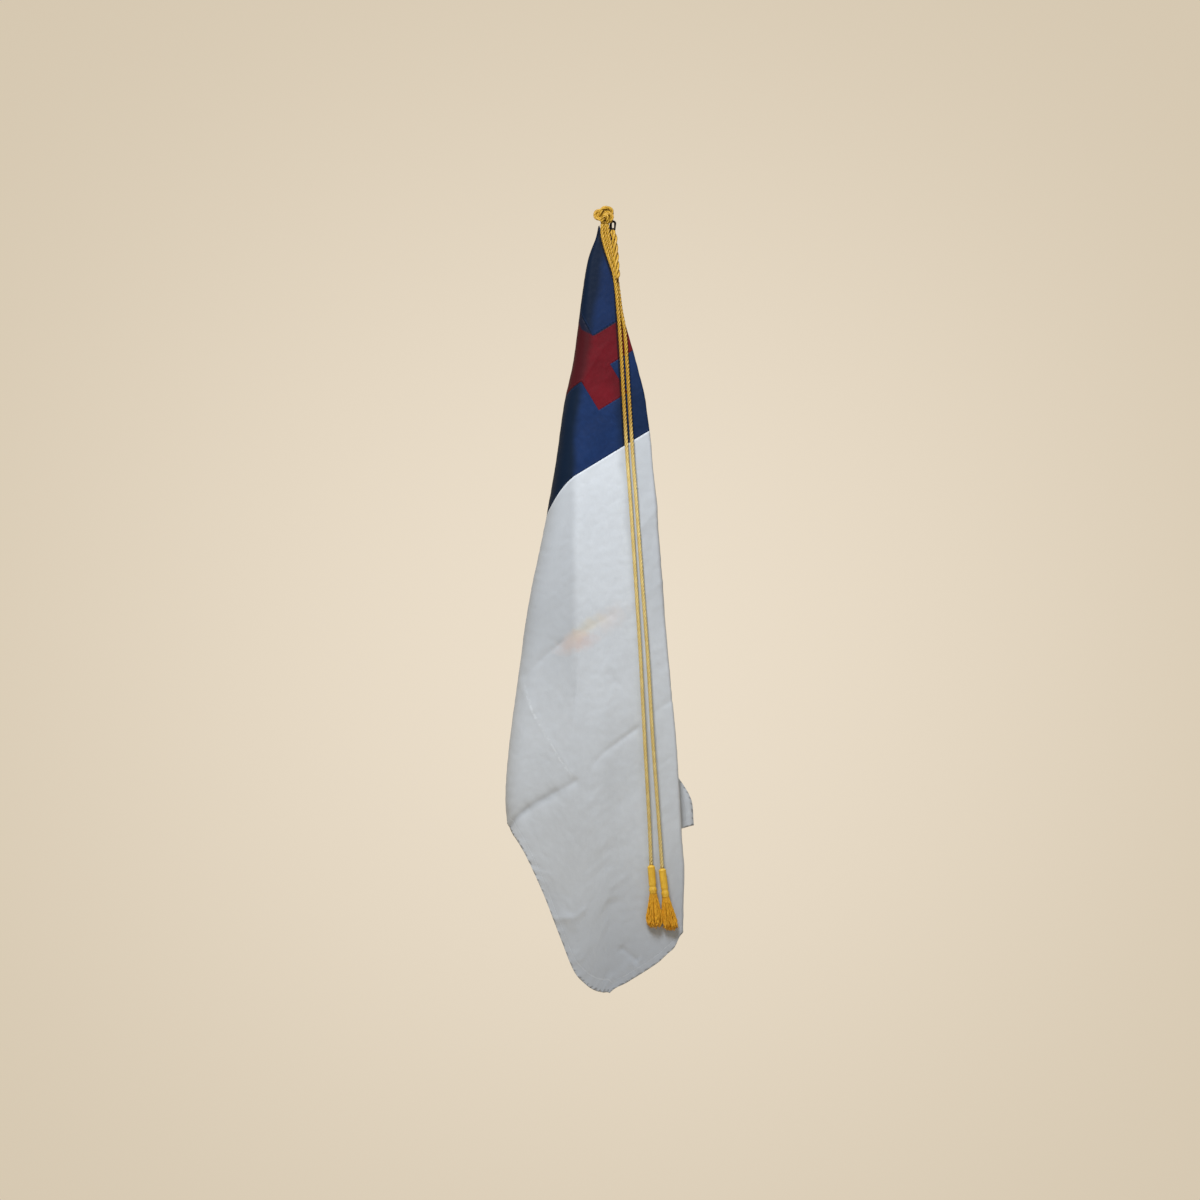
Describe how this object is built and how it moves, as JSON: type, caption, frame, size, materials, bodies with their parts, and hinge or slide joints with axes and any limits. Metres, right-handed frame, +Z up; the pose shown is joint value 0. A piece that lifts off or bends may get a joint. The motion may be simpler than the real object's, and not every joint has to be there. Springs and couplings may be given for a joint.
{
  "type": "christian flag",
  "caption": "White flag with a navy canton and a red cross, hanging in soft folds from its top hoist corner, with a gold twisted cord knotted there that ends in tassels.",
  "frame": {"origin": "the flag's top hoist corner, where it hangs", "axes": "+Z up, the front of the flag faces -Y, and its fly runs down towards +X"},
  "size_m": [0.4317, 0.1572, 1.8132],
  "materials": {
    "white_nylon": "plain woven white nylon, faintly creased and stained",
    "navy_nylon": "plain woven navy nylon",
    "red_nylon": "plain woven dark red nylon",
    "gold_cord": "twisted rayon cord, pale gold",
    "gold_tassel": "twisted rayon tassel strands, deep gold",
    "dark_leather": "dark brown leather, satin"
  },
  "bodies": {
    "root": {"field": "white_nylon", "canton": "navy_nylon", "cross": "red_nylon", "cord_knot": "gold_cord", "cord_left": "gold_cord", "cord_right": "gold_cord", "cord_end": "gold_cord", "tassel_left": "gold_tassel", "tassel_right": "gold_tassel", "hanging_tab": "dark_leather"}
  },
  "joints": []
}
